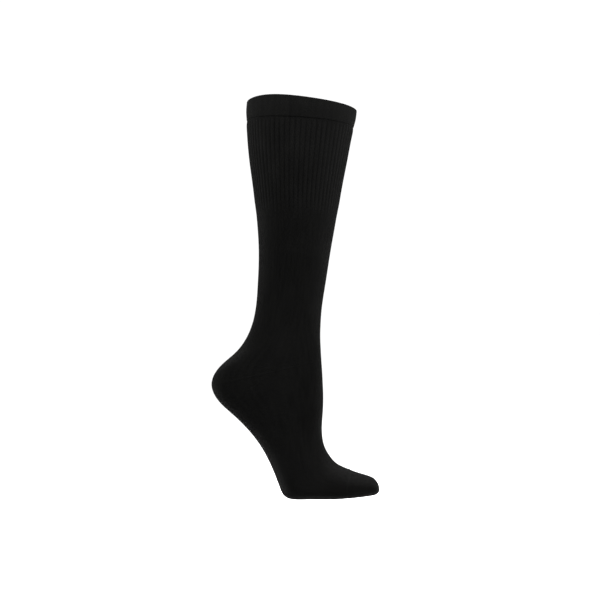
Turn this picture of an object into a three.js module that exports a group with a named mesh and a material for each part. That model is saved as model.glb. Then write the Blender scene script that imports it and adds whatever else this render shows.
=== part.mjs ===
// A knee-high compression stocking, filled out as a leg would fill it, with nothing in it.
// Millimetres. +X points to the toes, +Y across the stocking, +Z up.
// The origin is the centre of the opening at the top. The heel is lifted and the toes are level.
import * as THREE from 'three';

// Thickness of the knitted walls. The welt is doubled, and heel and toe are reinforced.
const WELT_WALL = 2.4;
const LEG_WALL = 1.5;
const HEEL_WALL = 2.0;
const FOOT_WALL = 1.5;
const TOE_WALL = 2.0;

// Pieces stand this far apart where one knitted part meets the next.
const SEAM_GAP = 0.3;

// The welt stands out from the leg and is rounded at its top fold. Its rim rises at the sides,
// and leans so that each side's highest place is behind the middle.
const WELT_STANDS_OUT = 1.0;
const WELT_RISE = 2.35;
const WELT_LEAN = 2.2;

// Raised ribs run down the upper leg and fade out.
const RIB_COUNT = 64;
const RIB_HEIGHT = 0.45;
const RIB_FADE_LENGTH = 38;

// How finely the walls are faceted: points round the outside and inside, and rows along them.
const OUTSIDE_POINTS = 64;
const INSIDE_POINTS = 32;
const RIBBED_POINTS = 2 * RIB_COUNT;
const WELT_ROWS = 2;
const FOLD_STEPS = 3;
const RIBBED_ROWS = 6;
const LEG_INSIDE_ROWS = 13;
const HEEL_ROWS = 8;

// The heel pocket's two corners are cut back by this angle, so that each ends in a short edge.
const HEEL_CORNER = THREE.MathUtils.degToRad(1.2);

// Dry knitted yarn has next to no gloss.
const YARN_ROUGHNESS = 0.95;

// Each row is one section across the stocking, from the opening down to the tip of the toes.
// It runs from a point on the back or sole to a point on the front or instep, and is as wide as
// its width across Y. Egg moves the widest place forwards, or backwards below 0. Square is 0 for
// an ellipse, and more for a fuller one.
const COLUMNS = ['name', 'backX', 'backZ', 'frontX', 'frontZ', 'width', 'egg', 'square'];
const SECTION_ROWS = [
  ['opening', -59.1, 6.6, 59.9, -3.1, 110.0, -0.03, 0.000],
  ['welt end', -60.0, -14.0, 57.0, -21.4, 109.5, -0.03, 0.000],
  ['below welt', -59.3, -30.8, 54.1, -35.2, 107.0, -0.03, 0.000],
  ['upper calf', -57.2, -55.0, 49.9, -57.2, 103.0, -0.03, 0.000],
  ['calf', -53.4, -83.6, 44.1, -86.9, 96.0, -0.03, 0.000],
  ['lower calf', -49.3, -121.0, 38.0, -123.2, 86.0, -0.02, 0.000],
  ['shin', -47.1, -158.4, 31.8, -158.4, 76.0, 0.00, 0.000],
  ['lower shin', -48.3, -195.8, 26.5, -192.5, 67.0, 0.02, 0.005],
  ['above ankle', -53.0, -233.2, 22.1, -222.2, 63.5, 0.06, 0.010],
  ['ankle', -62.0, -255.2, 20.9, -239.8, 64.0, 0.10, 0.020],
  ['top of heel', -73.3, -269.5, 20.6, -251.9, 66.0, 0.15, 0.035],
  ['upper heel', -90.3, -284.9, 21.1, -264.0, 67.0, 0.20, 0.050],
  ['back of heel', -99.0, -303.6, 21.7, -276.1, 67.0, 0.20, 0.055],
  ['lower heel', -91.9, -321.2, 22.6, -288.2, 66.0, 0.17, 0.055],
  ['end of heel', -77.2, -335.5, 23.3, -301.4, 65.0, 0.12, 0.050],
  ['waist', -60.2, -352.0, 23.9, -316.8, 65.0, 0.06, 0.040],
  ['arch', -46.2, -369.6, 23.4, -334.4, 67.5, 0.00, 0.030],
  ['instep', -35.3, -389.0, 22.4, -354.1, 73.0, -0.06, 0.025],
  ['back of ball', -27.5, -407.5, 24.7, -370.3, 79.5, -0.12, 0.025],
  ['under ball', -23.6, -417.7, 27.9, -377.6, 83.5, -0.15, 0.030],
  ['ball', -17.9, -425.9, 33.7, -386.1, 87.5, -0.18, 0.030],
  ['front of ball', 4.0, -427.4, 42.7, -393.6, 90.0, -0.22, 0.035],
  ['back of toes', 29.0, -426.9, 53.4, -398.5, 88.0, -0.24, 0.040],
  ['toes', 51.0, -425.9, 64.4, -402.6, 82.0, -0.22, 0.040],
  ['front of toes', 69.9, -425.2, 75.4, -405.7, 65.0, -0.15, 0.030],
  ['rounding of toes', 77.3, -424.9, 80.2, -408.0, 53.0, -0.10, 0.020],
  ['end of toes', 82.2, -423.9, 83.4, -411.6, 38.0, -0.06, 0.010],
  ['around tip', 84.9, -421.5, 85.1, -415.2, 20.0, -0.03, 0.000],
  ['tip', 85.4, -418.6, 85.4, -418.6, 0.0, 0.00, 0.000],
];

// Where the pieces meet, as places along the stocking. The heel pocket spreads from a corner on
// each side, on the row at the back of the heel, to these two rows at the back.
const RIBS_END = 'lower calf';
const HEEL_BEGINS = 'top of heel';
const HEEL_MIDDLE = 'back of heel';
const HEEL_ENDS = 'end of heel';
const TOE_BEGINS_ON_TOP = 'back of toes';
const TOE_BEGINS_BELOW = 'toes';

// Steps along and round the surface that are short enough to measure its direction.
const SHORT_STEP = 0.02;
const SHORT_TURN = 0.001;

const mix = (a, b, share) => a + (b - a) * share;

// Second derivatives of the smooth curve through the values at the knots, straight at both ends.
function curvatures(knots, values) {
  const last = knots.length - 1;
  const result = new Array(last + 1).fill(0);
  const upper = new Array(last + 1).fill(0);
  for (let i = 1; i < last; i += 1) {
    const before = knots[i] - knots[i - 1];
    const after = knots[i + 1] - knots[i];
    const slopeBefore = (values[i] - values[i - 1]) / before;
    const slopeAfter = (values[i + 1] - values[i]) / after;
    const pivot = 2 * (before + after) - before * upper[i - 1];
    upper[i] = after / pivot;
    result[i] = (6 * (slopeAfter - slopeBefore) - before * result[i - 1]) / pivot;
  }
  for (let i = last - 1; i > 0; i -= 1) {
    result[i] -= upper[i] * result[i + 1];
  }
  return result;
}

// A function that gives the smooth curve's value at a place along the knots.
function smoothCurve(knots, values) {
  const bend = curvatures(knots, values);
  return (place) => {
    let i = 0;
    while (i < knots.length - 2 && place > knots[i + 1]) {
      i += 1;
    }
    const span = knots[i + 1] - knots[i];
    const b = (place - knots[i]) / span;
    const a = 1 - b;
    const curved = (a ** 3 - a) * bend[i] + (b ** 3 - b) * bend[i + 1];
    return a * values[i] + b * values[i + 1] + (curved * span * span) / 6;
  };
}

// Places along the stocking in millimetres: the mean of the way down the back and the front.
function placesAlong(rows) {
  const places = [0];
  for (let i = 1; i < rows.length; i += 1) {
    const back = Math.hypot(rows[i].backX - rows[i - 1].backX, rows[i].backZ - rows[i - 1].backZ);
    const front = Math.hypot(rows[i].frontX - rows[i - 1].frontX, rows[i].frontZ - rows[i - 1].frontZ);
    places.push(places[i - 1] + (back + front) / 2);
  }
  return places;
}

const toRow = (cells) => Object.fromEntries(cells.map((cell, i) => [COLUMNS[i], cell]));
const SECTIONS = SECTION_ROWS.map(toRow);
const PLACES = placesAlong(SECTIONS);
const CURVES = {};
for (const column of COLUMNS.slice(1)) {
  CURVES[column] = smoothCurve(PLACES, SECTIONS.map((row) => row[column]));
}

function placeOf(name) {
  return PLACES[SECTIONS.findIndex((row) => row.name === name)];
}

// A point of the stocking's outer surface. The angle is 0 at the front and half a turn at the back.
function surfacePoint(place, angle) {
  const back = new THREE.Vector3(CURVES.backX(place), 0, CURVES.backZ(place));
  const front = new THREE.Vector3(CURVES.frontX(place), 0, CURVES.frontZ(place));
  const square = CURVES.square(place);
  const roundness = (Math.cos(angle) - square * Math.cos(3 * angle)) / (1 - square);
  const forwards = roundness + CURVES.egg(place) * Math.sin(angle) ** 2;
  const sideways = (Math.sin(angle) + square * Math.sin(3 * angle)) / (1 - square);
  const point = back.lerp(front, (1 + forwards) / 2);
  return point.setY((CURVES.width(place) / 2) * sideways);
}

// The direction straight out of the surface, from two short steps along it.
function surfaceNormal(place, angle) {
  const down = surfacePoint(place + SHORT_STEP, angle).sub(surfacePoint(place - SHORT_STEP, angle));
  const round = surfacePoint(place, angle + SHORT_TURN).sub(surfacePoint(place, angle - SHORT_TURN));
  return down.cross(round).normalize();
}

// A point that stands out from the surface, or lies under it where "out" is below 0.
function wallPoint(place, angle, out) {
  return surfacePoint(place, angle).addScaledVector(surfaceNormal(place, angle), out);
}

// The place that lies this far beyond an edge that runs round, measured at right angles to it.
function stepPast(edge, angle, distance) {
  const place = edge(angle);
  const down = surfacePoint(place + SHORT_STEP, angle).sub(surfacePoint(place - SHORT_STEP, angle));
  const ahead = surfacePoint(edge(angle + SHORT_TURN), angle + SHORT_TURN);
  const behind = surfacePoint(edge(angle - SHORT_TURN), angle - SHORT_TURN);
  const round = ahead.sub(behind).normalize();
  const crossed = down.cross(round).length() / (2 * SHORT_STEP);
  return place + distance / crossed;
}

// The edges between the pieces, each a place along the stocking for an angle round it.
const weltTop = (angle) => {
  const rise = WELT_RISE * (1 - Math.cos(angle) ** 4);
  return -rise + WELT_LEAN * Math.cos(angle) * Math.sin(angle) ** 2;
};
const weltBottom = () => placeOf('welt end');
const towardsBack = (angle) => Math.max(0, -Math.cos(angle));
const heelTop = (angle) => mix(placeOf(HEEL_MIDDLE), placeOf(HEEL_BEGINS), towardsBack(angle));
const heelBottom = (angle) => mix(placeOf(HEEL_MIDDLE), placeOf(HEEL_ENDS), towardsBack(angle));
const toeEdge = (angle) => {
  const share = (1 - Math.cos(angle)) / 2;
  return mix(placeOf(TOE_BEGINS_ON_TOP), placeOf(TOE_BEGINS_BELOW), share);
};

const beforeSeam = (edge) => (angle) => stepPast(edge, angle, -SEAM_GAP / 2);
const afterSeam = (edge) => (angle) => stepPast(edge, angle, SEAM_GAP / 2);

// A ring of points round the stocking, from a function of the angle and the point's number.
function ring(count, pointAt) {
  return Array.from({ length: count }, (_, i) => pointAt((i / count) * 2 * Math.PI, i));
}

const evenShares = (rows) => Array.from({ length: rows + 1 }, (_, row) => row / rows);

// Shares of the way between two named sections: each section between them and each halfway place.
function sectionShares(from, to) {
  const first = PLACES.indexOf(placeOf(from));
  const last = PLACES.indexOf(placeOf(to));
  const whole = PLACES[last] - PLACES[first];
  const shares = [0];
  for (let i = first + 1; i < last + 1; i += 1) {
    const halfway = (PLACES[i - 1] + PLACES[i]) / 2;
    shares.push((halfway - PLACES[first]) / whole, (PLACES[i] - PLACES[first]) / whole);
  }
  return shares;
}

// Rings of a plain wall between two edges, one for each share of the way from first to last.
function plainRings(count, shares, from, to, out) {
  return shares.map((share) =>
    ring(count, (angle) => wallPoint(mix(from(angle), to(angle), share), angle, out)));
}

// Triangles between two closed rings of point numbers, taking the nearer next point each time.
// A ring may have more points than the other, or be a single point.
function bandFaces(first, second) {
  const faces = [];
  let i = 0;
  let j = 0;
  const steps = first.length > 1 ? first.length : 0;
  const otherSteps = second.length > 1 ? second.length : 0;
  while (i < steps || j < otherSteps) {
    const here = first[i % first.length];
    const there = second[j % second.length];
    if (j >= otherSteps || (i < steps && (i + 1) / steps <= (j + 1) / otherSteps)) {
      i += 1;
      faces.push([here, first[i % first.length], there]);
    } else {
      j += 1;
      faces.push([here, second[j % second.length], there]);
    }
  }
  return faces;
}

// Flat strips that shut the mouth of a ring which runs down the outside and back up the inside.
function capFaces(numbers) {
  const faces = [];
  const last = numbers.length - 1;
  for (let i = 0; i < numbers.length / 2 - 1; i += 1) {
    faces.push([numbers[i], numbers[i + 1], numbers[last - i]]);
    faces.push([numbers[i + 1], numbers[last - i - 1], numbers[last - i]]);
  }
  return faces;
}

function enclosedVolume(points, faces) {
  const sum = faces.reduce((total, [a, b, c]) => {
    const normal = new THREE.Vector3().crossVectors(points[b], points[c]);
    return total + points[a].dot(normal);
  }, 0);
  return sum / 6;
}

// A closed body through rings of points. The last ring joins the first where it goes round in a
// loop. Otherwise each end is a single point, or a strip-shaped ring that is capped.
function bodyThrough(rings, { loop = false, capped = false }) {
  const points = rings.flat();
  let next = 0;
  const numbered = rings.map((ringPoints) => ringPoints.map(() => next++));
  let faces = [];
  for (let i = 1; i < numbered.length; i += 1) {
    faces.push(...bandFaces(numbered[i - 1], numbered[i]));
  }
  if (loop) {
    faces.push(...bandFaces(numbered[numbered.length - 1], numbered[0]));
  }
  if (capped) {
    faces.push(...capFaces(numbered[0]).map(([a, b, c]) => [a, c, b]));
    faces.push(...capFaces(numbered[numbered.length - 1]));
  }
  if (enclosedVolume(points, faces) < 0) {
    faces = faces.map(([a, b, c]) => [a, c, b]);
  }
  const geometry = new THREE.BufferGeometry().setFromPoints(points);
  geometry.setIndex(faces.flat());
  geometry.computeVertexNormals();
  return geometry;
}

// How far a rib stands out: full height at first, then fading to nothing.
function ribHeight(place) {
  const end = placeOf(RIBS_END);
  const faded = THREE.MathUtils.smoothstep(place, end - RIB_FADE_LENGTH, end);
  return RIB_HEIGHT * (1 - faded);
}

// The welt goes round its own thickness: down the outside, under, up the inside and over the fold.
function weltGeometry() {
  const foldRadius = WELT_WALL / 2;
  const bottom = beforeSeam(weltBottom);
  const fold = (angle) => weltTop(angle) + foldRadius;
  const rings = plainRings(OUTSIDE_POINTS, evenShares(WELT_ROWS), fold, bottom, WELT_STANDS_OUT);
  const inside = WELT_STANDS_OUT - WELT_WALL;
  rings.push(...plainRings(INSIDE_POINTS, evenShares(WELT_ROWS), fold, bottom, inside).reverse());
  for (let i = 1; i < FOLD_STEPS + 1; i += 1) {
    const turn = (i / (FOLD_STEPS + 1)) * Math.PI;
    const out = WELT_STANDS_OUT - foldRadius - foldRadius * Math.cos(turn);
    const up = foldRadius * Math.sin(turn);
    rings.push(ring(OUTSIDE_POINTS, (angle) => wallPoint(fold(angle) - up, angle, out)));
  }
  return bodyThrough(rings, { loop: true });
}

function legGeometry() {
  const top = afterSeam(weltBottom);
  const bottom = beforeSeam(heelTop);
  const ribsEnd = () => placeOf(RIBS_END);
  const rings = [];
  for (let row = 0; row < RIBBED_ROWS; row += 1) {
    rings.push(ring(RIBBED_POINTS, (angle, i) => {
      const place = mix(top(angle), ribsEnd(), row / RIBBED_ROWS);
      return wallPoint(place, angle, i % 2 === 0 ? ribHeight(place) : 0);
    }));
  }
  const outside = sectionShares(RIBS_END, HEEL_BEGINS);
  const inside = evenShares(LEG_INSIDE_ROWS);
  rings.push(...plainRings(OUTSIDE_POINTS, outside, ribsEnd, bottom, 0));
  rings.push(...plainRings(INSIDE_POINTS, inside, top, bottom, -LEG_WALL).reverse());
  return bodyThrough(rings, { loop: true });
}

// The heel pocket is built from loops that run down its outside and back up its inside, one loop
// for each angle from one corner round the back to the other.
function heelGeometry() {
  const top = afterSeam(heelTop);
  const bottom = beforeSeam(heelBottom);
  const steps = OUTSIDE_POINTS / 2;
  const loops = [];
  for (let i = 0; i < steps + 1; i += 1) {
    const whole = mix(Math.PI / 2, (3 * Math.PI) / 2, i / steps);
    const firstAngle = Math.PI / 2 + HEEL_CORNER;
    const angle = THREE.MathUtils.clamp(whole, firstAngle, 2 * Math.PI - firstAngle);
    const loop = [];
    for (let row = 0; row < HEEL_ROWS + 1; row += 1) {
      const place = mix(top(angle), bottom(angle), row / HEEL_ROWS);
      loop.unshift(wallPoint(place, angle, -HEEL_WALL));
      loop.push(wallPoint(place, angle, 0));
    }
    loops.push(loop);
  }
  return bodyThrough(loops, { capped: true });
}

function footGeometry() {
  const top = afterSeam(heelBottom);
  const bottom = beforeSeam(toeEdge);
  const shares = sectionShares(HEEL_MIDDLE, TOE_BEGINS_BELOW);
  const rings = plainRings(OUTSIDE_POINTS, shares, top, bottom, 0);
  rings.push(...plainRings(INSIDE_POINTS, shares, top, bottom, -FOOT_WALL).reverse());
  return bodyThrough(rings, { loop: true });
}

// The toe pocket closes at its tip, inside and outside.
function toeGeometry() {
  const top = afterSeam(toeEdge);
  const end = () => placeOf('tip');
  const shares = sectionShares(TOE_BEGINS_BELOW, 'tip').slice(0, -1);
  const outside = plainRings(OUTSIDE_POINTS, shares, top, end, 0);
  const inside = plainRings(INSIDE_POINTS, shares, top, end, -TOE_WALL);
  const tip = surfacePoint(placeOf('tip'), 0);
  const insideTip = tip.clone().setX(tip.x - TOE_WALL);
  return bodyThrough([[insideTip], ...inside.reverse(), ...outside, [tip]], {});
}

// One yarn colour throughout. The doubled welt looks a little lighter than the rest.
function yarn(colour) {
  return new THREE.MeshStandardMaterial({ color: colour, roughness: YARN_ROUGHNESS, metalness: 0 });
}

const weltMaterial = () => yarn(0x1a1a19);
const legMaterial = () => yarn(0x151514);
const heelMaterial = () => yarn(0x131312);
const footMaterial = () => yarn(0x141413);
const toeMaterial = () => yarn(0x161615);

function piece(name, geometry, material) {
  const mesh = new THREE.Mesh(geometry, material);
  mesh.name = name;
  return mesh;
}

const group = new THREE.Group();
group.name = 'compression_stocking';
group.add(piece('welt', weltGeometry(), weltMaterial()));
group.add(piece('leg', legGeometry(), legMaterial()));
group.add(piece('heel', heelGeometry(), heelMaterial()));
group.add(piece('foot', footGeometry(), footMaterial()));
group.add(piece('toe', toeGeometry(), toeMaterial()));

export default group;
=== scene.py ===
"""A knee-high compression stocking in near-black knit, filled out as a leg would fill it.

Sizes in the tables are millimetres, in the frame of the solids: +X to the toes, +Z up, and the
origin at the centre of the opening. Meshes are built in metres.
"""

import math

import bpy
import numpy as np
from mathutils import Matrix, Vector


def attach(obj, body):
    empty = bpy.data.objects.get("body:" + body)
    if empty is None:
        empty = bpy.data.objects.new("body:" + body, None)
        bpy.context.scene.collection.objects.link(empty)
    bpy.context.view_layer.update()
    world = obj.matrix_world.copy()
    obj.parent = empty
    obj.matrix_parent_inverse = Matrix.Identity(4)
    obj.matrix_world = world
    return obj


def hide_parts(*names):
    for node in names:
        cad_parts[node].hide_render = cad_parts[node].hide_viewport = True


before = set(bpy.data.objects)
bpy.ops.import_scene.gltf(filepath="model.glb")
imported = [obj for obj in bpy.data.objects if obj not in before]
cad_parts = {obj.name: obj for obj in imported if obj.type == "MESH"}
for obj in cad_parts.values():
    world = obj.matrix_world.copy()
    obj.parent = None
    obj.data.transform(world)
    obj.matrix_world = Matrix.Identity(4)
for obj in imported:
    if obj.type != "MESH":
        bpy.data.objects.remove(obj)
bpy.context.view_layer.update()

MM = 0.001

# Walls, as on the solids, and how the welt stands out, rises at the sides and leans back.
WELT_WALL = 2.4
LEG_WALL = 1.5
HEEL_WALL = 2.0
FOOT_WALL = 1.5
TOE_WALL = 2.0
WELT_STANDS_OUT = 1.0
WELT_RISE = 2.35
WELT_LEAN = 2.2

# The welt's lower half is drawn in softly, from this share of its height down, and then rolled.
# Where it is drawn in, the material paints it darker from its relief, as painted shade.
WELT_ROLL = 0.35
WELT_BELLY = 0.2
WELT_DRAWN_IN = (0.35, 1.1)

# The stitches: needles round the stocking, needles to a rib, and the height of one row.
WALES = 192
WALES_PER_RIB = 3
RIBS = WALES // WALES_PER_RIB
COURSE = 0.95

# The ribs begin below the welt, and their grooves are narrow.
RIB_HEIGHT = 0.6
RIB_FADE_LENGTH = 22.0
RIB_BEGINS = 6.0
RIB_GROOVE_POWER = 6

# The stitches fade out where the columns crowd together, from the second of these widths down.
CROWDED = (0.2, 0.8)

# Pieces nearly touch where one knitted part runs into the next, at lines this high and wide.
KNIT_GAP = 0.04
JOIN_LINE = (0.12, 0.6)
GORE_LINE = (0.22, 0.8)
TOE_SEAM = (0.5, 1.0)
WELT_GROOVE = (0.05, 1.5)

# The heel pocket's corners are cut back by this angle. Its rows draw together where it is shorter
# than this, and its gore lines fade out between these angles from the middle of the back.
HEEL_CORNER = math.radians(0.35)
HEEL_NARROW = 10.0
HEEL_GORE_ENDS = (0.45, 0.6)

# The toe pocket ends just short of its tip. Its gore lines fade out between these distances.
TIP_MARGIN = 0.3
TOE_GORE_BEGINS = (0.0, 2.0)
TOE_GORE_ENDS = (18.0, 26.0)
TOE_HALF_WIDTH = 30.0

# The seam over the toes fades out where the cosine of the angle is between these.
SEAM_SIDE = (-0.05, 0.25)

# Rows of each piece, outside and inside, between those near its edges.
LEG_ROWS = (90, 40)
HEEL_ROWS = (40, 20)
FOOT_ROWS = (100, 50)
TOE_ROWS = (40, 20)
WELT_TOP_ROWS = 12
WELT_ROWS = 17
WELT_ROLL_ROWS = 4

# How far the rows near an edge are from it. The second is close, so that the smooth shading turns
# only at the edge. The welt's inner rows lie at shares of the way down, from its bottom up.
NEAR = (0.0, 0.08, 0.4, 0.8, 1.3, 2.0, 3.0)
NEAR_INSIDE = (0.0, 0.08, 2.0)
WELT_INSIDE_SHARES = (1.0, 0.995, 0.9, 0.7, 0.5, 0.3, 0.1, 0.0)

# Columns of points round the stocking, and round half of it for the heel.
FINE_COLUMNS = 512
PLAIN_COLUMNS = 256
HEEL_COLUMNS = 129

# Steps along and round the surface that are short enough to measure its direction and width.
SHORT_STEP = 0.02
SHORT_TURN = 0.001
WALE_TURN = 0.01

# One row for each section, from the opening to the tip of the toes: a point on the back or sole,
# a point on the front or instep, the width, how far the widest place is moved forwards, and how
# much fuller than an ellipse the section is.
SECTIONS = [
    # name, back x, back z, front x, front z, width, egg, square
    ("opening", -59.1, 6.6, 59.9, -3.1, 110.0, -0.03, 0.000),
    ("welt end", -60.0, -14.0, 57.0, -21.4, 109.5, -0.03, 0.000),
    ("below welt", -59.3, -30.8, 54.1, -35.2, 107.0, -0.03, 0.000),
    ("upper calf", -57.2, -55.0, 49.9, -57.2, 103.0, -0.03, 0.000),
    ("calf", -53.4, -83.6, 44.1, -86.9, 96.0, -0.03, 0.000),
    ("lower calf", -49.3, -121.0, 38.0, -123.2, 86.0, -0.02, 0.000),
    ("shin", -47.1, -158.4, 31.8, -158.4, 76.0, 0.00, 0.000),
    ("lower shin", -48.3, -195.8, 26.5, -192.5, 67.0, 0.02, 0.005),
    ("above ankle", -53.0, -233.2, 22.1, -222.2, 63.5, 0.06, 0.010),
    ("ankle", -62.0, -255.2, 20.9, -239.8, 64.0, 0.10, 0.020),
    ("top of heel", -73.3, -269.5, 20.6, -251.9, 66.0, 0.15, 0.035),
    ("upper heel", -90.3, -284.9, 21.1, -264.0, 67.0, 0.20, 0.050),
    ("back of heel", -99.0, -303.6, 21.7, -276.1, 67.0, 0.20, 0.055),
    ("lower heel", -91.9, -321.2, 22.6, -288.2, 66.0, 0.17, 0.055),
    ("end of heel", -77.2, -335.5, 23.3, -301.4, 65.0, 0.12, 0.050),
    ("waist", -60.2, -352.0, 23.9, -316.8, 65.0, 0.06, 0.040),
    ("arch", -46.2, -369.6, 23.4, -334.4, 67.5, 0.00, 0.030),
    ("instep", -35.3, -389.0, 22.4, -354.1, 73.0, -0.06, 0.025),
    ("back of ball", -27.5, -407.5, 24.7, -370.3, 79.5, -0.12, 0.025),
    ("under ball", -23.6, -417.7, 27.9, -377.6, 83.5, -0.15, 0.030),
    ("ball", -17.9, -425.9, 33.7, -386.1, 87.5, -0.18, 0.030),
    ("front of ball", 4.0, -427.4, 42.7, -393.6, 90.0, -0.22, 0.035),
    ("back of toes", 29.0, -426.9, 53.4, -398.5, 88.0, -0.24, 0.040),
    ("toes", 51.0, -425.9, 64.4, -402.6, 82.0, -0.22, 0.040),
    ("front of toes", 69.9, -425.2, 75.4, -405.7, 65.0, -0.15, 0.030),
    ("rounding of toes", 77.3, -424.9, 80.2, -408.0, 53.0, -0.10, 0.020),
    ("end of toes", 82.2, -423.9, 83.4, -411.6, 38.0, -0.06, 0.010),
    ("around tip", 84.9, -421.5, 85.1, -415.2, 20.0, -0.03, 0.000),
    ("tip", 85.4, -418.6, 85.4, -418.6, 0.0, 0.00, 0.000),
]
NAMES = [row[0] for row in SECTIONS]
VALUES = np.array([row[1:] for row in SECTIONS])


def places_along():
    """Each section's place along the stocking: the mean way down the back and the front."""
    steps = np.diff(VALUES, axis=0)
    back = np.hypot(steps[:, 0], steps[:, 1])
    front = np.hypot(steps[:, 2], steps[:, 3])
    return np.concatenate([[0.0], np.cumsum((back + front) / 2)])


PLACES = places_along()


def curvatures():
    """Second derivatives of the smooth curves through all columns, straight at both ends."""
    count = len(PLACES)
    gaps = np.diff(PLACES)
    slopes = np.diff(VALUES, axis=0) / gaps[:, None]
    system = np.eye(count)
    wanted = np.zeros_like(VALUES)
    for i in range(1, count - 1):
        system[i, i - 1 : i + 2] = gaps[i - 1], 2 * (gaps[i - 1] + gaps[i]), gaps[i]
        wanted[i] = 6 * (slopes[i] - slopes[i - 1])
    return np.linalg.solve(system, wanted)


BENDS = curvatures()


def section_at(place):
    """The columns of the section table at these places, in the last axis."""
    i = np.clip(np.searchsorted(PLACES, place) - 1, 0, len(PLACES) - 2)
    span = PLACES[i + 1] - PLACES[i]
    b = (place - PLACES[i]) / span
    a = 1 - b
    cubic = (a**3 - a)[..., None] * BENDS[i] + (b**3 - b)[..., None] * BENDS[i + 1]
    flat = a[..., None] * VALUES[i] + b[..., None] * VALUES[i + 1]
    return flat + cubic * (span**2 / 6)[..., None]


def place_of(name):
    return PLACES[NAMES.index(name)]


def surface(place, angle):
    """Points of the outer surface. The angle is 0 at the front and half a turn at the back."""
    back_x, back_z, front_x, front_z, width, egg, square = np.moveaxis(section_at(place), -1, 0)
    roundness = (np.cos(angle) - square * np.cos(3 * angle)) / (1 - square)
    forwards = roundness + egg * np.sin(angle) ** 2
    sideways = (np.sin(angle) + square * np.sin(3 * angle)) / (1 - square)
    share = (1 + forwards) / 2
    x = back_x + (front_x - back_x) * share
    z = back_z + (front_z - back_z) * share
    return np.stack([x, width / 2 * sideways, z], axis=-1)


def normals(place, angle):
    """Directions straight out of the surface."""
    down = surface(place + SHORT_STEP, angle) - surface(place - SHORT_STEP, angle)
    round_ = surface(place, angle + SHORT_TURN) - surface(place, angle - SHORT_TURN)
    out = np.cross(down, round_)
    return out / np.linalg.norm(out, axis=-1, keepdims=True)


def wale_widths(place, angle):
    """How wide one column of stitches is at these places."""
    step = surface(place, angle + WALE_TURN) - surface(place, angle)
    return np.linalg.norm(step, axis=-1) * (2 * np.pi / WALES / WALE_TURN)


def mix(a, b, share):
    return a + (b - a) * share


def smooth_step(value, low, high):
    t = np.clip((value - low) / (high - low), 0, 1)
    return t * t * (3 - 2 * t)


# Where the pieces meet, each a place along the stocking for an angle round it.
def welt_top(angle):
    arch = -WELT_RISE * (1 - np.cos(angle) ** 4)
    return arch + WELT_LEAN * np.cos(angle) * np.sin(angle) ** 2


def welt_bottom(angle):
    return np.full_like(angle, place_of("welt end"))


def towards_back(angle):
    return np.maximum(0, -np.cos(angle))


def heel_top(angle):
    return mix(place_of("back of heel"), place_of("top of heel"), towards_back(angle))


def heel_bottom(angle):
    return mix(place_of("back of heel"), place_of("end of heel"), towards_back(angle))


def toe_edge(angle):
    return mix(place_of("back of toes"), place_of("toes"), (1 - np.cos(angle)) / 2)


def angles(count):
    return np.arange(count) / count * 2 * np.pi


def plain_rows(top, bottom, near, count, scale=1.0):
    """Places of rows between two edges, closer together near both, and how far each row is from
    the edge it is near. top and bottom are places for each column."""
    near = np.array(near)[:, None] * np.broadcast_to(scale, top.shape)
    upper = top + near
    lower = bottom - near[::-1]
    shares = np.linspace(0, 1, count + 2)[1:-1, None]
    middle = mix(upper[-1], lower[0], shares)
    places = np.concatenate([upper, middle, lower])
    return places, places - top, bottom - places


def edge_ridge(distance, height, width):
    """A soft ridge along an edge, this high at the edge itself."""
    return height * np.exp(-((distance / width) ** 2))


def build_piece(name, rows, closed_round=True, poles=False):
    """A closed shell from rows of (places, angles, out), in a loop down the outside and back up the
    inside. Rows go round the stocking, or from side to side on a patch. With poles, the first and
    last rows are shut by a point each instead of meeting."""
    place, angle, out = (np.stack([row[k] for row in rows]) for k in range(3))
    points = surface(place, angle) + normals(place, angle) * out[..., None]
    count, columns = place.shape
    wales = angle / (2 * np.pi) * WALES
    courses = place / COURSE
    i, j = np.meshgrid(
        np.arange(count - 1 if poles else count),
        np.arange(columns if closed_round else columns - 1),
        indexing="ij",
    )
    i, j = i.ravel(), j.ravel()
    i2, j2 = (i + 1) % count, (j + 1) % columns
    wrap = np.where(j2 == 0, WALES, 0)
    faces = np.stack([i * columns + j, i2 * columns + j, i2 * columns + j2, i * columns + j2], 1)
    u = np.stack([wales[i, j], wales[i2, j], wales[i2, j2] + wrap, wales[i, j2] + wrap], 1)
    v = np.stack([courses[i, j], courses[i2, j], courses[i2, j2], courses[i, j2]], 1)
    faces = faces.tolist()
    knit = np.stack([u, v], -1).reshape(-1, 2)
    points = points.reshape(-1, 3)
    extra_points, extra_knit = [], []
    if poles:
        for row, order in ((0, 1), (count - 1, -1)):
            middle = len(points) + len(extra_points)
            ring = np.arange(columns) + row * columns
            extra_points.append(points[ring].mean(axis=0))
            for k in range(columns):
                pair = (ring[k], ring[(k + 1) % columns])[::order]
                faces.append([int(pair[0]), int(pair[1]), middle])
                extra_knit += [(wales[row, k], courses[row, k])] * 3
    if not closed_round:
        for column, order in ((0, -1), (columns - 1, 1)):
            rim = (np.arange(count) * columns + column)[::order]
            faces.append(rim.tolist())
            extra_knit += [(wales[0, column], courses[k, column]) for k in range(count)][::order]
    if extra_points:
        points = np.concatenate([points, extra_points])
    if extra_knit:
        knit = np.concatenate([knit, extra_knit])
    mesh = bpy.data.meshes.new(name)
    mesh.from_pydata((points * MM).tolist(), [], faces)
    layer = mesh.uv_layers.new(name="Knit")
    layer.data.foreach_set("uv", knit.astype(np.float32).ravel())
    clearness = smooth_step(wale_widths(place, angle), *CROWDED)
    # The relief, how far each point stands out, is also what the material paints darker or lighter
    # as painted shade.
    for label, values in (("relief", out), ("stitches", clearness)):
        held = np.zeros(len(points), dtype=np.float32)
        held[: count * columns] = values.ravel()
        mesh.attributes.new(label, "FLOAT", "POINT").data.foreach_set("value", held)
    mesh.shade_smooth()
    piece = bpy.data.objects.new(name, mesh)
    bpy.context.collection.objects.link(piece)
    make_outward(piece)
    return piece


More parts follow.
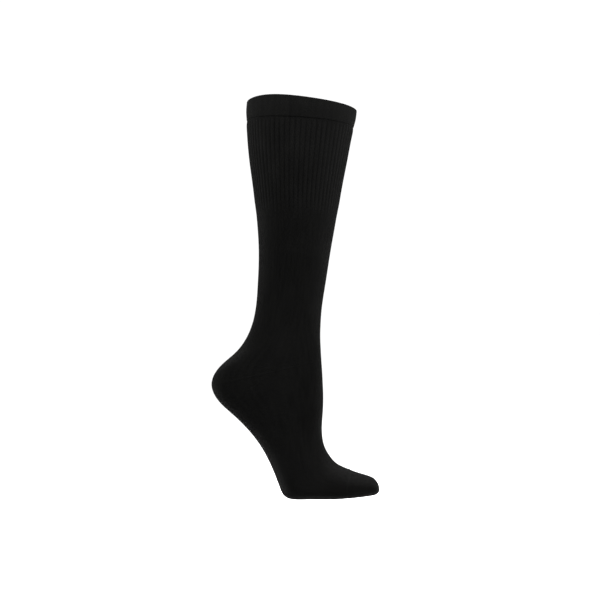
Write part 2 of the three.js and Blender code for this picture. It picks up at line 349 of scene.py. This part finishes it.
def make_outward(piece):
    """Turns every face over if the shell was built inside out."""
    mesh = piece.data
    mesh.calc_loop_triangles()
    triangles = [tri.vertices[:] for tri in mesh.loop_triangles]
    corners = np.array([[mesh.vertices[k].co[:] for k in triangle] for triangle in triangles])
    volume = np.einsum("ij,ij->i", corners[:, 0], np.cross(corners[:, 1], corners[:, 2])).sum()
    if volume < 0:
        mesh.flip_normals()


def level(out):
    """A row that stands out evenly all round the welt or leg."""
    return np.full(FINE_COLUMNS, out)


def make_welt():
    a = angles(FINE_COLUMNS)
    radius = WELT_WALL / 2
    top, bottom = welt_top(a) + radius, welt_bottom(a) - KNIT_GAP / 2
    middle = WELT_STANDS_OUT - radius
    rows = []
    for turn in np.linspace(np.pi, 0, WELT_TOP_ROWS + 1)[1:]:
        rows.append((top - radius * np.sin(turn), a, level(middle + radius * np.cos(turn))))
    roll = WELT_ROLL
    for share in np.linspace(0, 1, WELT_ROWS + 1)[1:]:
        belly = WELT_BELLY * math.sin(math.pi * share)
        drawn_in = (WELT_STANDS_OUT - roll) * smooth_step(share, *WELT_DRAWN_IN)
        out = WELT_STANDS_OUT + belly - drawn_in
        rows.append((mix(top, bottom - roll, share), a, level(out)))
    for turn in np.linspace(0, np.pi / 2, WELT_ROLL_ROWS + 1)[1:]:
        rolled = out - roll * (1 - math.cos(turn))
        rows.append((bottom - roll + roll * math.sin(turn), a, level(rolled)))
    for share in WELT_INSIDE_SHARES:
        rows.append((mix(top, bottom, share), a, level(WELT_STANDS_OUT - WELT_WALL)))
    return build_piece("welt_turned", rows)


def rib_relief(place, angle):
    """Ribs with rounded tops and narrow grooves, fading out on the way down the leg."""
    end = place_of("lower calf")
    fade = 1 - smooth_step(place, end - RIB_FADE_LENGTH, end)
    groove = np.abs(np.sin(np.pi * angle / (2 * np.pi) * RIBS)) ** RIB_GROOVE_POWER
    return RIB_HEIGHT * fade * (1 - groove)


def inner_rows(top, bottom, a, count, wall, scale=1.0):
    """Rows of a plain inside, from the bottom up."""
    places, *_ = plain_rows(top, bottom, NEAR_INSIDE, count, scale)
    return [(row, a, np.full(len(a), -wall)) for row in places[::-1]]


def make_leg():
    a = angles(FINE_COLUMNS)
    top, bottom = welt_bottom(a) + KNIT_GAP / 2, heel_top(a) - KNIT_GAP / 2
    places, from_top, from_bottom = plain_rows(top, bottom, NEAR, LEG_ROWS[0])
    # Below the welt the relief is low, so the material paints a darker band there as painted shade.
    out = rib_relief(places, a) * smooth_step(from_top, 0.0, RIB_BEGINS)
    out = out - edge_ridge(from_top, *WELT_GROOVE) + edge_ridge(from_bottom, *JOIN_LINE)
    rows = [(places[k], a, out[k]) for k in range(len(places))]
    rows += inner_rows(top, bottom, a, LEG_ROWS[1], LEG_WALL)
    return build_piece("leg_knit", rows)


def make_heel():
    a = np.linspace(np.pi / 2 + HEEL_CORNER, 3 * np.pi / 2 - HEEL_CORNER, HEEL_COLUMNS)
    top, bottom = heel_top(a) + KNIT_GAP / 2, heel_bottom(a) - KNIT_GAP / 2
    scale = np.minimum(1, (bottom - top) / HEEL_NARROW)
    places, from_top, from_bottom = plain_rows(top, bottom, NEAR, HEEL_ROWS[0], scale)
    out = edge_ridge(from_top, *JOIN_LINE) + edge_ridge(from_bottom, *JOIN_LINE)
    # The gore line runs from each corner most of the way round to the back.
    turned = np.abs(a - np.pi)
    from_gore = np.abs(places - place_of("back of heel"))
    out += edge_ridge(from_gore, *GORE_LINE) * smooth_step(turned, *HEEL_GORE_ENDS)
    rows = [(places[k], a, out[k]) for k in range(len(places))]
    rows += inner_rows(top, bottom, a, HEEL_ROWS[1], HEEL_WALL, scale)
    return build_piece("heel_pocket", rows, closed_round=False)


def seam_side(angle):
    """1 on the top of the toes, where the toe is linked shut, and 0 underneath."""
    return smooth_step(np.cos(angle), *SEAM_SIDE)


def make_foot():
    a = angles(PLAIN_COLUMNS)
    top, bottom = heel_bottom(a) + KNIT_GAP / 2, toe_edge(a) - KNIT_GAP / 2
    places, from_top, from_bottom = plain_rows(top, bottom, NEAR, FOOT_ROWS[0])
    out = edge_ridge(from_top, *JOIN_LINE) + edge_ridge(from_bottom, *TOE_SEAM) * seam_side(a)
    rows = [(places[k], a, out[k]) for k in range(len(places))]
    rows += inner_rows(top, bottom, a, FOOT_ROWS[1], FOOT_WALL)
    return build_piece("foot_knit", rows)


def make_toe():
    a = angles(PLAIN_COLUMNS)
    top = toe_edge(a) + KNIT_GAP / 2
    end = np.full(PLAIN_COLUMNS, place_of("tip") - TIP_MARGIN)
    places, from_top, _ = plain_rows(top, end, NEAR, TOE_ROWS[0])
    out = edge_ridge(from_top, *TOE_SEAM) * seam_side(a)
    from_side = np.abs(np.abs(a - np.pi) - np.pi / 2) * TOE_HALF_WIDTH
    along = smooth_step(from_top, *TOE_GORE_BEGINS) * (1 - smooth_step(from_top, *TOE_GORE_ENDS))
    out = out + edge_ridge(from_side, *GORE_LINE) * along
    rows = inner_rows(top, end, a, TOE_ROWS[1], TOE_WALL)
    rows += [(places[k], a, out[k]) for k in range(len(places))]
    return build_piece("toe_pocket", rows, poles=True)


# Stitches: how far a yarn leg slants, where it lies across its column, how deep the stitches' ends
# dip, and the mean that a stitch fades to where the columns crowd together.
LEG_SLANT = 1.3
LEG_ACROSS = 0.25
STITCH_CROWN = (0.6, 0.4)
STITCH_MEAN = 0.45

# Noises: fibres and wide patches as (scale, detail) in object space, streaks along the columns.
FIBRES = (2200.0, 3.0)
PATCHES = (28.0, 2.0)
STREAKS = (1.0, 2.0)
STREAK_STRETCH = (0.45, 0.03, 1.0)

# How much each of them says in the colour, the bump and the roughness: the stitches and ribs as
# painted shade, the patches and streaks as uneven tone.
STITCH_PAINTED_SHADE = 0.75
RIB_PAINTED_SHADE = 0.25
PATCH_TONE = 0.5
STREAK_TONE = 0.65
NOISE_MEAN = 0.5
FIBRE_BUMP = 0.5
BUMP_STRENGTH = 0.7
FIBRE_ROUGHNESS = (0.15, 0.8)

# Black cloth shows hardly any gloss, and a faint sheen at its sides.
SPECULAR = 0.005
SHEEN = 0.0055
SHEEN_ROUGHNESS = 0.35
SHEEN_TINT = (1.0, 1.0, 0.98, 1.0)

# Colours of the yarn and of the painted shade in the grooves between its legs, and depths of the
# stitches in mm.
YARN = (0.0018, 0.0018, 0.00173)
PAINTED_GROOVE_SHADE = (0.00055, 0.00055, 0.00053)
STITCH_DEPTH = 0.3
WELT_STITCH_DEPTH = 0.22


def knit_material(name, stitch_depth):
    """Plain knit: two slanted yarn legs to a stitch, in columns. The colour is painted darker
    between the legs and the columns, as painted shade, and fine fibres catch the light at the
    sides."""
    material = bpy.data.materials.new(name)
    material.use_nodes = True
    nodes, links = material.node_tree.nodes, material.node_tree.links
    shader = nodes["Principled BSDF"]

    def math_node(operation, first, second=None, clamp=False):
        node = nodes.new("ShaderNodeMath")
        node.operation = operation
        node.use_clamp = clamp
        for socket, value in zip(node.inputs, (first, second)):
            if value is None:
                continue
            if isinstance(value, (int, float)):
                socket.default_value = value
            else:
                links.new(value, socket)
        return node.outputs[0]

    def noise_node(vector, scale, detail):
        node = nodes.new("ShaderNodeTexNoise")
        node.inputs["Scale"].default_value = scale
        node.inputs["Detail"].default_value = detail
        links.new(vector, node.inputs["Vector"])
        return node.outputs["Fac"]

    def attribute_node(label):
        node = nodes.new("ShaderNodeAttribute")
        node.attribute_name = label
        return node.outputs["Fac"]

    def noise_about_nought(noise, amount):
        return math_node("MULTIPLY", math_node("SUBTRACT", noise, NOISE_MEAN), amount)

    where = nodes.new("ShaderNodeUVMap")
    where.uv_map = "Knit"
    split = nodes.new("ShaderNodeSeparateXYZ")
    links.new(where.outputs["UV"], split.inputs[0])
    wale, course = split.outputs[0], split.outputs[1]
    across = math_node("ABSOLUTE", math_node("SUBTRACT", math_node("FRACT", wale), 0.5))
    slanted = math_node("ADD", course, math_node("MULTIPLY", across, LEG_SLANT))
    row = math_node("SINE", math_node("MULTIPLY", math_node("FRACT", slanted), math.pi))
    off_leg = math_node("DIVIDE", math_node("SUBTRACT", across, LEG_ACROSS), LEG_ACROSS)
    leg = math_node("SUBTRACT", 1.0, math_node("MULTIPLY", off_leg, off_leg))
    crown_height, crown_base = STITCH_CROWN
    crown = math_node("ADD", math_node("MULTIPLY", row, crown_height), crown_base)
    clear = attribute_node("stitches")
    stitch = math_node("MULTIPLY", leg, crown, clamp=True)
    stitch = math_node("MULTIPLY", math_node("SUBTRACT", stitch, STITCH_MEAN), clear)
    stitch = math_node("ADD", stitch, STITCH_MEAN)

    place = nodes.new("ShaderNodeTexCoord")
    fibres = noise_node(place.outputs["Object"], *FIBRES)
    stretched = nodes.new("ShaderNodeMapping")
    stretched.inputs["Scale"].default_value = STREAK_STRETCH
    links.new(where.outputs["UV"], stretched.inputs["Vector"])
    patches = noise_about_nought(noise_node(place.outputs["Object"], *PATCHES), PATCH_TONE)
    streaks = noise_about_nought(noise_node(stretched.outputs["Vector"], *STREAKS), STREAK_TONE)
    streaks = math_node("MULTIPLY", streaks, clear)

    # Painted shade and light from the relief: the colour is darker where the surface stands out
    # less, as in the grooves between the ribs, just below the welt and on the welt's drawn-in lower
    # edge, and lighter where it stands out, as on the rib tops.
    raised = math_node("MULTIPLY", attribute_node("relief"), 1.0 / RIB_HEIGHT, clamp=True)
    # Painted shade: where the stitch is low, between the yarn legs and the columns, the colour
    # turns towards the painted groove shade.
    painted_stitch_shade = math_node("MULTIPLY", stitch, STITCH_PAINTED_SHADE)
    painted_rib_shade = math_node("MULTIPLY", raised, RIB_PAINTED_SHADE)
    painted_shade_and_tone = math_node("ADD", painted_stitch_shade, painted_rib_shade)
    painted_shade_and_tone = math_node("ADD", painted_shade_and_tone, math_node("ADD", patches, streaks), clamp=True)
    # The colour mixes the painted groove shade with the yarn: painted shade from the stitches and
    # ribs, uneven tone from the patches and streaks.
    colour = nodes.new("ShaderNodeMix")
    colour.data_type = "RGBA"
    links.new(painted_shade_and_tone, colour.inputs["Factor"])
    colour.inputs["A"].default_value = (*PAINTED_GROOVE_SHADE, 1.0)
    colour.inputs["B"].default_value = (*YARN, 1.0)
    links.new(colour.outputs["Result"], shader.inputs["Base Color"])

    height = math_node("ADD", stitch, math_node("MULTIPLY", fibres, FIBRE_BUMP))
    bump = nodes.new("ShaderNodeBump")
    bump.inputs["Strength"].default_value = BUMP_STRENGTH
    bump.inputs["Distance"].default_value = stitch_depth * MM
    links.new(height, bump.inputs["Height"])
    links.new(bump.outputs["Normal"], shader.inputs["Normal"])
    rough_range, rough_base = FIBRE_ROUGHNESS
    rough = math_node("ADD", math_node("MULTIPLY", fibres, rough_range), rough_base)
    links.new(rough, shader.inputs["Roughness"])
    shader.inputs["Specular IOR Level"].default_value = SPECULAR
    shader.inputs["Sheen Weight"].default_value = SHEEN
    shader.inputs["Sheen Roughness"].default_value = SHEEN_ROUGHNESS
    shader.inputs["Sheen Tint"].default_value = SHEEN_TINT
    return material


def dress(piece, node, material):
    """Gives a knitted piece its material, hangs it on the root body and hides its node on the CAD.
    """
    piece.data.materials.append(material)
    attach(piece, "root")
    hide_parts(node)


# The stage, in m: a white world, and a floor that reaches this far at this level.
WORLD_STRENGTH = 1.06
FLOOR_REACH = 40.0
FLOOR_LEVEL = -0.56
FLOOR_COLOUR = (0.98, 0.98, 0.98, 1.0)
FLOOR_ROUGHNESS = 0.9

# Lamps as (name, place, width, power), all aimed at the middle of the stocking.
MIDDLE = (0.0, 0.0, -0.21)
LAMPS = (
    ("left", (-0.45, -0.28, 0.46), 0.4, 32.5),
    ("right", (0.55, -0.30, 0.36), 0.4, 36.5),
    ("behind_left", (-0.12, 0.60, 0.34), 0.3, 11.0),
    ("behind_right", (0.14, 0.60, 0.30), 0.3, 11.0),
)

# The camera, in m: its distance, how wide a view it has there, and where it looks. Sensor in mm.
CAMERA_DISTANCE = 1.33
VIEW_WIDTH = 0.66
VIEW_MIDDLE_X = -0.0017
VIEW_MIDDLE_Z = -0.2112
SENSOR_WIDTH = 36.0


def area_light(name, at, size, energy):
    """A round soft lamp, aimed at the middle of the stocking."""
    data = bpy.data.lights.new(name, "AREA")
    data.shape = "DISK"
    data.size = size
    data.energy = energy
    lamp = bpy.data.objects.new(name, data)
    lamp.location = at
    aim = Vector(MIDDLE) - Vector(at)
    lamp.rotation_euler = aim.to_track_quat("-Z", "Y").to_euler()
    bpy.context.collection.objects.link(lamp)


def make_stage():
    """A white world, a pale floor some way below the toes, as the leg holds the stocking up, and
    soft lamps."""
    world = bpy.data.worlds.new("studio")
    bpy.context.scene.world = world
    world.use_nodes = True
    background = world.node_tree.nodes["Background"]
    background.inputs["Color"].default_value = (1.0, 1.0, 1.0, 1.0)
    background.inputs["Strength"].default_value = WORLD_STRENGTH
    mesh = bpy.data.meshes.new("floor")
    corners = ((-1, -1), (1, -1), (1, 1), (-1, 1))
    points = [(x * FLOOR_REACH, y * FLOOR_REACH, FLOOR_LEVEL) for x, y in corners]
    mesh.from_pydata(points, [], [(0, 1, 2, 3)])
    floor = bpy.data.objects.new("floor", mesh)
    bpy.context.collection.objects.link(floor)
    paint = bpy.data.materials.new("floor_paint")
    paint.use_nodes = True
    shader = paint.node_tree.nodes["Principled BSDF"]
    shader.inputs["Base Color"].default_value = FLOOR_COLOUR
    shader.inputs["Roughness"].default_value = FLOOR_ROUGHNESS
    mesh.materials.append(paint)
    for lamp in LAMPS:
        area_light(*lamp)


def make_camera():
    """Level, straight from the side, as far off as the photograph's perspective says."""
    data = bpy.data.cameras.new("camera")
    camera = bpy.data.objects.new("camera", data)
    camera.location = (VIEW_MIDDLE_X, -CAMERA_DISTANCE, VIEW_MIDDLE_Z)
    camera.rotation_euler = (math.pi / 2, 0.0, 0.0)
    data.sensor_width = SENSOR_WIDTH
    data.lens = SENSOR_WIDTH * CAMERA_DISTANCE / VIEW_WIDTH
    bpy.context.collection.objects.link(camera)
    bpy.context.scene.camera = camera


dress(make_welt(), "welt", knit_material("welt_knit", WELT_STITCH_DEPTH))
dress(make_leg(), "leg", knit_material("leg_rib_knit", STITCH_DEPTH))
dress(make_heel(), "heel", knit_material("heel_knit", STITCH_DEPTH))
dress(make_foot(), "foot", knit_material("foot_knit", STITCH_DEPTH))
dress(make_toe(), "toe", knit_material("toe_knit", STITCH_DEPTH))
make_stage()
make_camera()
bpy.context.scene.view_settings.view_transform = "Standard"
